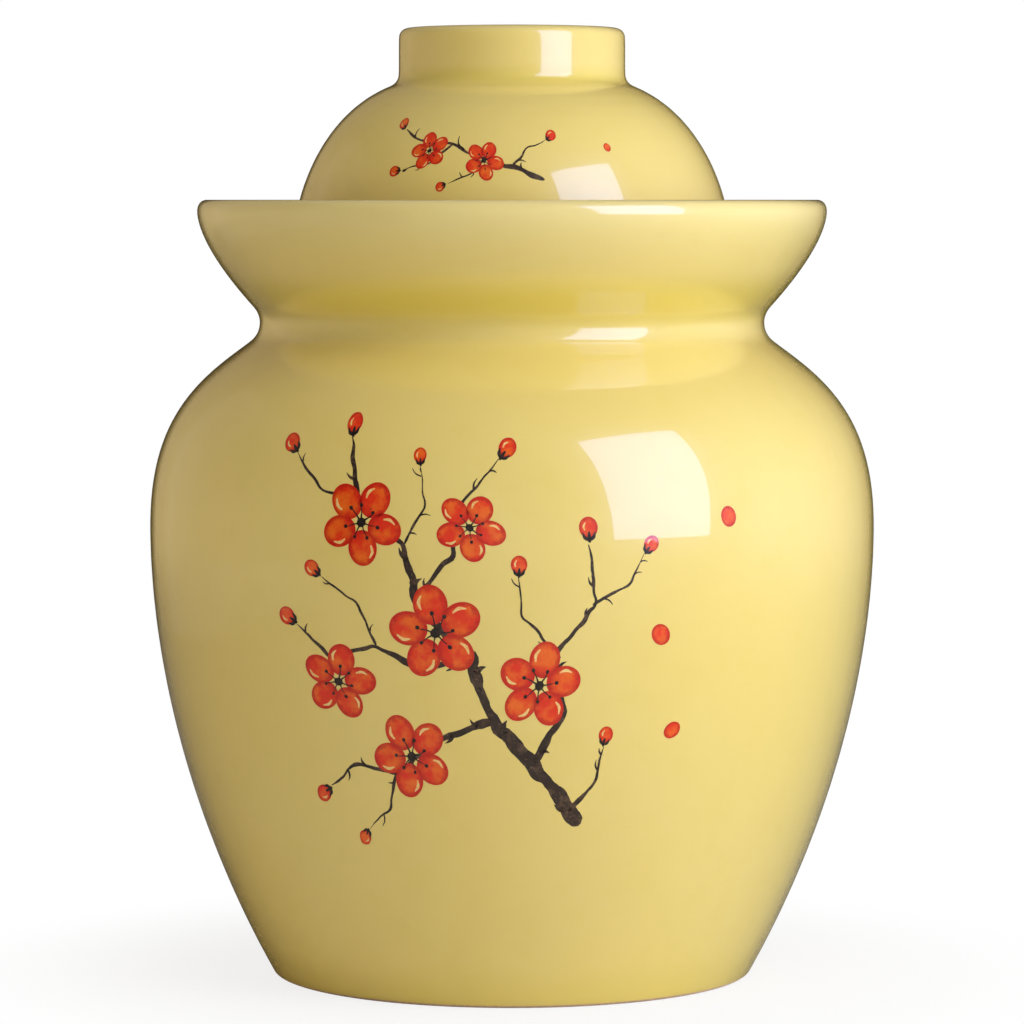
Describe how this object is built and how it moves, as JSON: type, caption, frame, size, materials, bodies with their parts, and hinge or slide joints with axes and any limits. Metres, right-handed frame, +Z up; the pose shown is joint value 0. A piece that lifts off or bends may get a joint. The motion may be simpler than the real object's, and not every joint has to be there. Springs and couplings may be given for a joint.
{
  "type": "water seal pickle jar",
  "caption": "Glazed stoneware pickle jar with a round belly, a flared water moat round the mouth, a bowl-shaped lid standing in the moat and a small inner lid.",
  "frame": {"origin": "centre of the foot ring, on the plane the jar stands on", "axes": "+Z up along the axis that every piece is turned about; the decorated front faces -Y and +X is to its right in the picture"},
  "size_m": [0.22, 0.22, 0.287],
  "materials": {
    "jar_glaze": "glossy yellow glaze",
    "lid_glaze": "glossy yellow glaze",
    "inner_lid_glaze": "glossy cream glaze"
  },
  "bodies": {
    "jar": {"jar_body": "jar_glaze", "moat_floor": "jar_glaze", "moat_wall": "jar_glaze", "mouth_collar": "jar_glaze"},
    "lid": {"water_lid": "lid_glaze", "lid_skirt": "lid_glaze", "lid_grip": "lid_glaze"},
    "small_lid": {"inner_lid": "inner_lid_glaze"}
  },
  "joints": [
    {"name": "lid_lift", "type": "slide", "parent": "jar", "child": "lid", "axis": [0, 0, 1], "range_m": [0, 0.2]},
    {"name": "inner_lid_lift", "type": "slide", "parent": "jar", "child": "small_lid", "axis": [0, 0, 1], "range_m": [0, 0.1]}
  ],
  "couplings": [
    {"joint": "inner_lid_lift", "follows": "lid_lift", "ratio": 0.5}
  ]
}
